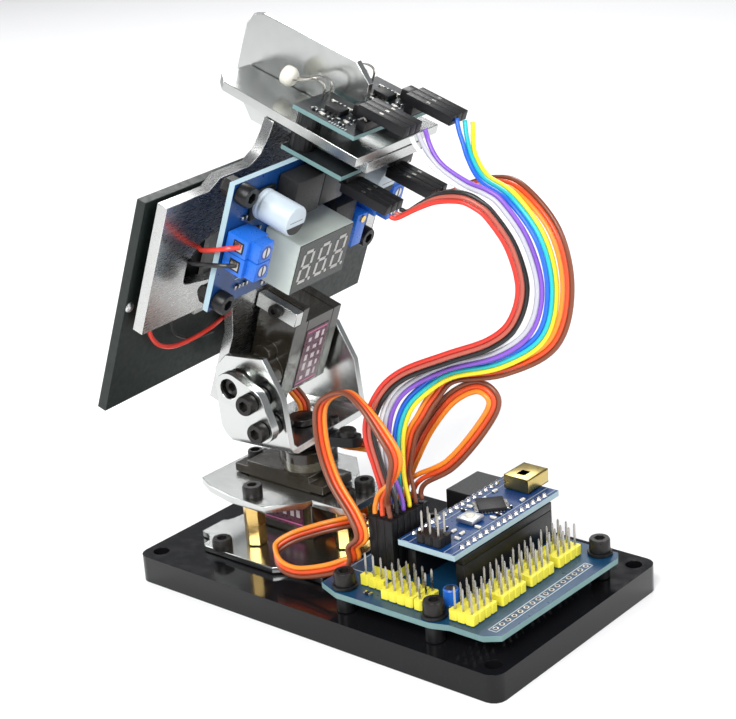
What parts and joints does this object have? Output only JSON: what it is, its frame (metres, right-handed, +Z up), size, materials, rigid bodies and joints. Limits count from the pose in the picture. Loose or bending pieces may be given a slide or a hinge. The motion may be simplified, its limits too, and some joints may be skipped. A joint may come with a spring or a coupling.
{
  "type": "pan-tilt sun tracker kit",
  "caption": "Two-axis servo turntable and tilting head that carries a small solar panel, a voltage meter and a cross-shaped light sensor, with its controller on one base slab.",
  "frame": {"origin": "centre of the base slab's underside", "axes": "+Z up; +X along the slab from the servo end to the controller end; the lower servo's shaft is parallel to Z"},
  "size_m": [0.122, 0.1116, 0.1525],
  "materials": {
    "black_acrylic": "gloss black cast acrylic",
    "aluminium": "polished, faint grain, edges as cut",
    "brass": "bright turned brass",
    "smoky_nylon": "smoky brown-black translucent nylon",
    "blue_board": "blue solder mask on glass epoxy, pale edges",
    "black_board": "black solder mask on glass epoxy, pale edges",
    "black_steel": "black oxide steel, and black turned spacers",
    "black_plastic": "satin black moulded plastic",
    "gilt_shell": "thin gilt stamped shell",
    "yellow_plastic": "bright yellow moulded plastic",
    "cell_glass": "dark green backing board, epoxy over dark cells in front",
    "display_shell": "pale grey shell with a dark face",
    "blue_plastic": "mid blue moulded plastic",
    "capacitor_can": "pale aluminium can",
    "lead_insulation": "satin coloured insulation, one colour for each wire"
  },
  "bodies": {
    "base": {"base_slab": "black_acrylic", "lower_deck": "aluminium", "upper_plate": "aluminium", "standoff_1": "brass", "standoff_2": "brass", "standoff_3": "brass", "standoff_4": "brass", "pan_servo": "smoky_nylon", "shield_board": "blue_board", "controller_board": "blue_board", "shield_post_1": "black_steel", "shield_post_2": "black_steel", "shield_post_3": "black_steel", "shield_post_4": "black_steel", "socket_strip_near": "black_plastic", "socket_strip_far": "black_plastic", "dc_jack": "black_plastic", "plug_block": "black_plastic", "usb_socket": "gilt_shell", "signal_headers_side": "yellow_plastic", "signal_headers_end": "yellow_plastic", "sensor_lead_1": "lead_insulation", "sensor_lead_2": "lead_insulation", "sensor_lead_3": "lead_insulation", "sensor_lead_4": "lead_insulation", "pan_servo_lead": "lead_insulation", "tilt_servo_lead": "lead_insulation"},
    "reset_key": {"reset_button": "gilt_shell"},
    "pan_yoke": {"pan_horn": "aluminium", "yoke": "aluminium", "yoke_screw": "black_steel", "tilt_horn": "aluminium", "arm_screw_1": "black_steel", "arm_screw_2": "black_steel"},
    "head": {"tilt_servo": "smoky_nylon", "clamp_upper": "aluminium", "clamp_lower": "aluminium", "pivot_screw": "black_steel", "head_plate": "aluminium", "solar_panel": "cell_glass", "meter_board": "blue_board", "meter_display": "display_shell", "terminal_left": "blue_plastic", "terminal_right": "blue_plastic", "capacitor_left": "capacitor_can", "capacitor_right": "capacitor_can", "sensor_shelf": "aluminium", "sensor_divider": "aluminium", "meter_post_1": "black_steel", "meter_post_2": "black_steel", "meter_post_3": "black_steel", "meter_post_4": "black_steel", "sensor_board_1": "black_board", "sensor_board_2": "black_board", "sensor_board_3": "black_board", "sensor_board_4": "black_board", "sensor_plug_1": "black_plastic", "sensor_plug_2": "black_plastic", "sensor_plug_3": "black_plastic", "sensor_plug_4": "black_plastic"}
  },
  "joints": [
    {"name": "pan", "type": "hinge", "parent": "base", "child": "pan_yoke", "pos_m": [-0.0285, 0, 0.0337], "axis": [0, 0, 1], "range_deg": [-94.9, 85.1], "deforming": ["sensor_lead_1", "sensor_lead_2", "sensor_lead_3", "sensor_lead_4", "pan_servo_lead", "tilt_servo_lead"]},
    {"name": "tilt", "type": "hinge", "parent": "pan_yoke", "child": "head", "pos_m": [-0.03458, -0.00052, 0.0575], "axis": [-0.0851, 0.9964, 0], "range_deg": [-25, 32], "deforming": ["sensor_lead_1", "sensor_lead_2", "sensor_lead_3", "sensor_lead_4", "pan_servo_lead", "tilt_servo_lead"]},
    {"name": "reset_press", "type": "slide", "parent": "base", "child": "reset_key", "axis": [0, 0, -1], "range_m": [0, 0.0003], "stiffness_N_per_m": 600, "springref_m": -0.0005}
  ]
}
